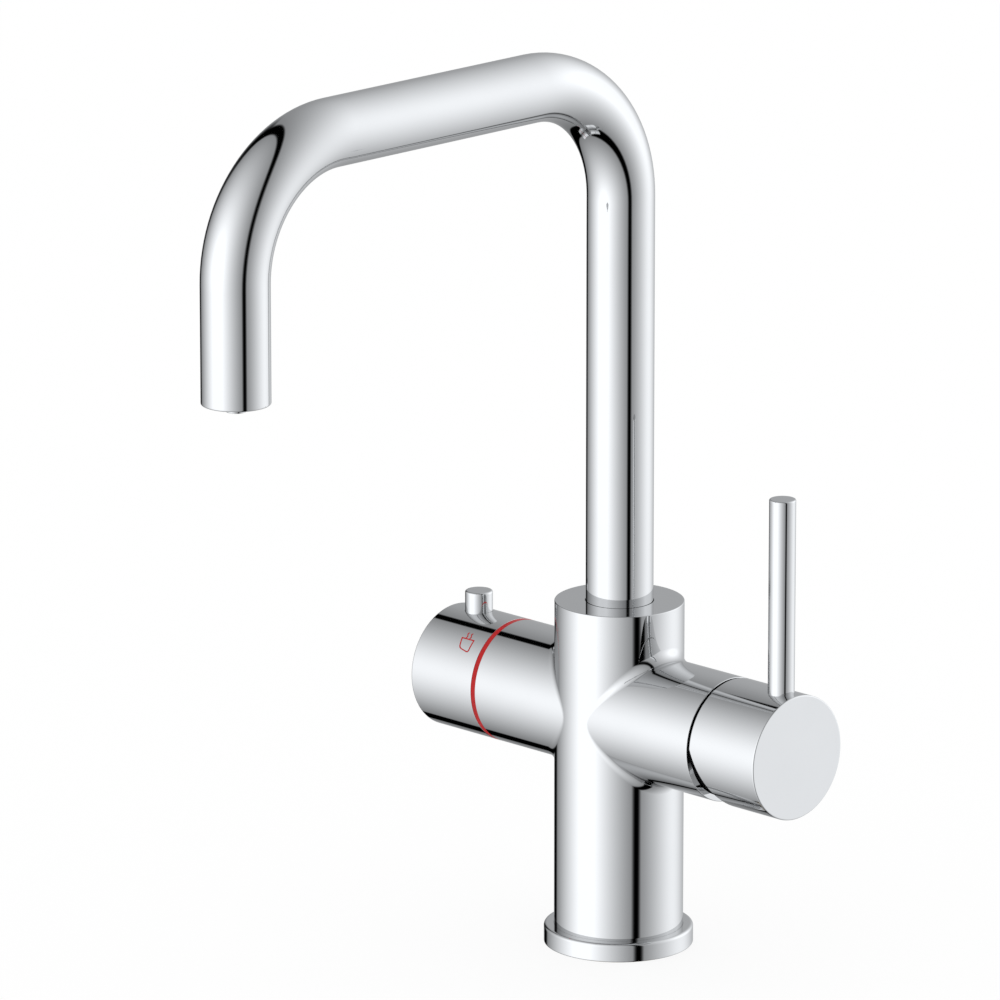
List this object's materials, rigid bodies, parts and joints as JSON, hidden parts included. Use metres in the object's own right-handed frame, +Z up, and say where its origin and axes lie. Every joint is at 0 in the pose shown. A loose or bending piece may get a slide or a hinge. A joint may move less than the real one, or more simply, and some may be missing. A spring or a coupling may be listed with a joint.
{
  "type": "boiling water tap",
  "caption": "Deck-mounted chrome kitchen tap with a swivelling square-U spout, a side mixer knob with a pin lever and a boiling-water knob with a push pin.",
  "frame": {"origin": "centre of the foot ring's underside, on the column's axis, at the worktop's surface", "axes": "+Z up along the column, -Y towards the spout's outlet and the user, +X along the mixer branch, -X along the boiling-water branch"},
  "size_m": [0.1763, 0.2338, 0.419],
  "materials": {
    "chrome": "polished chrome plate",
    "brass": "machined brass",
    "steel": "stainless steel, plain turned",
    "rubber": "moulded rubber",
    "ceramic": "lapped ceramic",
    "white_plastic": "moulded acetal",
    "grey_plastic": "moulded acetal",
    "black_plastic": "glossy black acetal",
    "red_band": "glossy red plastic ring"
  },
  "bodies": {
    "column": {"body": "chrome", "base_ring": "chrome", "base_seal": "rubber", "threaded_shank": "brass", "rubber_washer": "rubber", "steel_washer": "steel", "back_nut": "brass", "spout_retaining_screw": "steel", "boiling_tube_seal": "rubber", "cartridge_base": "grey_plastic", "cartridge_seals": "rubber", "cartridge_body": "grey_plastic", "fixed_ceramic_disc": "ceramic", "cartridge_nut": "brass", "dome_cover": "black_plastic", "red_ring": "red_band", "valve_seat_seal": "rubber", "valve_body": "brass", "valve_thread_seal": "rubber", "fixed_valve_disc": "ceramic", "spindle_o_ring": "rubber", "lock_sleeve": "white_plastic"},
    "spout": {"spout_tube": "chrome", "spout_ferrule": "brass", "spout_o_rings": "rubber", "spout_slide_ring": "white_plastic", "inner_boiling_tube": "steel", "aerator_housing": "grey_plastic", "aerator_screen": "steel", "aerator_seal": "rubber", "boiling_nozzle": "chrome"},
    "temperature_carrier": {"cartridge_carrier": "white_plastic", "pivot_pin": "steel"},
    "sliding_disc": {"moving_ceramic_disc": "ceramic", "disc_driver": "grey_plastic"},
    "mixer_handle": {"cartridge_stem": "steel", "mixer_knob": "chrome", "lever_rod": "chrome", "knob_grub_screw": "steel", "knob_plug": "grey_plastic"},
    "boiling_handle": {"boiling_knob": "chrome", "knob_screw": "steel", "knob_end_cap": "chrome", "valve_spindle": "brass", "spindle_circlip": "steel", "moving_valve_disc": "ceramic", "safety_spring": "steel"},
    "push_pin": {"safety_pin": "chrome"}
  },
  "joints": [
    {"name": "spout_swivel", "type": "hinge", "parent": "column", "child": "spout", "pos_m": [0, 0, 0.115], "axis": [0, 0, 1], "range_deg": [-90, 90]},
    {"name": "mixer_temperature", "type": "hinge", "parent": "column", "child": "temperature_carrier", "pos_m": [0.05, 0, 0.0896], "axis": [1, 0, 0], "range_deg": [-45, 45]},
    {"name": "mixer_flow", "type": "hinge", "parent": "temperature_carrier", "child": "mixer_handle", "pos_m": [0.05, 0, 0.0896], "axis": [0, 1, 0], "range_deg": [0, 15]},
    {"name": "disc_slide", "type": "slide", "parent": "temperature_carrier", "child": "sliding_disc", "axis": [0, 0, 1], "range_m": [0, 0.0053]},
    {"name": "boiling_turn", "type": "hinge", "parent": "column", "child": "boiling_handle", "pos_m": [-0.07, 0, 0.0896], "axis": [1, 0, 0], "range_deg": [0, 90]},
    {"name": "safety_press", "type": "slide", "parent": "boiling_handle", "child": "push_pin", "axis": [0, 0, -1], "range_m": [0, 0.003], "stiffness_N_per_m": 500, "springref_m": -0.003, "deforming": ["safety_spring"]}
  ],
  "couplings": [
    {"joint": "disc_slide", "follows": "mixer_flow", "m_per_rad": 0.0198}
  ]
}
